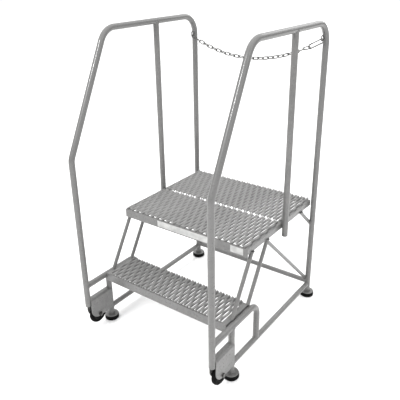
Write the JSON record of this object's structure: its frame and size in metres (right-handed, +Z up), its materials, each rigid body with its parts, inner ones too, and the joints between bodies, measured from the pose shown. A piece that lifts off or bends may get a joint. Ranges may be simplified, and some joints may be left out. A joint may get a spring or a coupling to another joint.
{
  "type": "rolling warehouse ladder",
  "caption": "Grey steel rolling ladder with a mesh lower step, a mesh platform between tall bent handrails, a guard chain, rubber feet and two tilt-and-roll wheels.",
  "frame": {"origin": "on the floor at the middle of the ladder's footprint, under the four foot pads", "axes": "+Z up, +Y the way the climber faces, from the front posts to the guard chain; +X to the climber's right"},
  "size_m": [0.7174, 0.8524, 1.29],
  "materials": {
    "frame_paint": "semi-gloss",
    "mesh_paint": "satin",
    "label_film": "satin",
    "pad_rubber": "matte",
    "tyre_rubber": "matte",
    "wheel_plastic": "satin",
    "bush_steel": "satin",
    "zinc_plate": "zinc plated"
  },
  "bodies": {
    "frame": {"left_handrail": "frame_paint", "left_mid_post": "frame_paint", "left_step_tube": "frame_paint", "left_front_leg": "frame_paint", "left_base_rail": "frame_paint", "left_front_stringer": "frame_paint", "left_rear_stringer": "frame_paint", "left_diagonal_brace": "frame_paint", "left_gusset_brace": "frame_paint", "left_step_side_angle": "frame_paint", "left_platform_side_angle": "frame_paint", "left_wheel_bracket": "frame_paint", "left_chain_eye": "zinc_plate", "right_handrail": "frame_paint", "right_mid_post": "frame_paint", "right_step_tube": "frame_paint", "right_front_leg": "frame_paint", "right_base_rail": "frame_paint", "right_front_stringer": "frame_paint", "right_rear_stringer": "frame_paint", "right_diagonal_brace": "frame_paint", "right_gusset_brace": "frame_paint", "right_step_side_angle": "frame_paint", "right_platform_side_angle": "frame_paint", "right_wheel_bracket": "frame_paint", "right_chain_eye": "zinc_plate", "rear_cross_tube": "frame_paint", "step_front_skirt": "frame_paint", "step_rear_angle": "frame_paint", "platform_front_skirt": "frame_paint", "platform_rear_angle": "frame_paint", "step_tread": "mesh_paint", "platform_front_tread": "mesh_paint", "platform_rear_tread": "mesh_paint", "blank_label_plates": "label_film", "front_left_foot_pad": "pad_rubber", "front_left_foot_cup": "frame_paint", "front_right_foot_pad": "pad_rubber", "front_right_foot_cup": "frame_paint", "rear_left_foot_pad": "pad_rubber", "rear_left_foot_cup": "frame_paint", "rear_right_foot_pad": "pad_rubber", "rear_right_foot_cup": "frame_paint", "foot_screws": "zinc_plate", "foot_weld_nuts": "zinc_plate", "axle_bolts": "zinc_plate", "axle_nuts": "zinc_plate", "axle_washers": "zinc_plate"},
    "left_wheel": {"left_tyre": "tyre_rubber", "left_wheel_hub": "wheel_plastic", "left_wheel_bush": "bush_steel"},
    "right_wheel": {"right_tyre": "tyre_rubber", "right_wheel_hub": "wheel_plastic", "right_wheel_bush": "bush_steel"},
    "chain": {"chain_links": "zinc_plate", "snap_hook": "zinc_plate", "snap_gate_pin": "zinc_plate"},
    "gate": {"snap_gate": "zinc_plate"}
  },
  "joints": [
    {"name": "left_wheel_spin", "type": "hinge", "parent": "frame", "child": "left_wheel", "pos_m": [-0.327, -0.36452, 0.0745], "axis": [1, 0, 0], "continuous": true},
    {"name": "right_wheel_spin", "type": "hinge", "parent": "frame", "child": "right_wheel", "pos_m": [0.327, -0.36452, 0.0745], "axis": [1, 0, 0], "continuous": true},
    {"name": "chain_swing", "type": "hinge", "parent": "frame", "child": "chain", "pos_m": [-0.321, 0.36847, 1.198], "axis": [0.9995, 0, 0.0311], "range_deg": [-75, 25]},
    {"name": "snap_gate", "type": "hinge", "parent": "chain", "child": "gate", "pos_m": [0.27748, 0.37138, 1.19403], "axis": [-0.1594, -0.9397, 0.3026], "range_deg": [-20, 0], "stiffness_Nm_per_rad": 0.01}
  ]
}
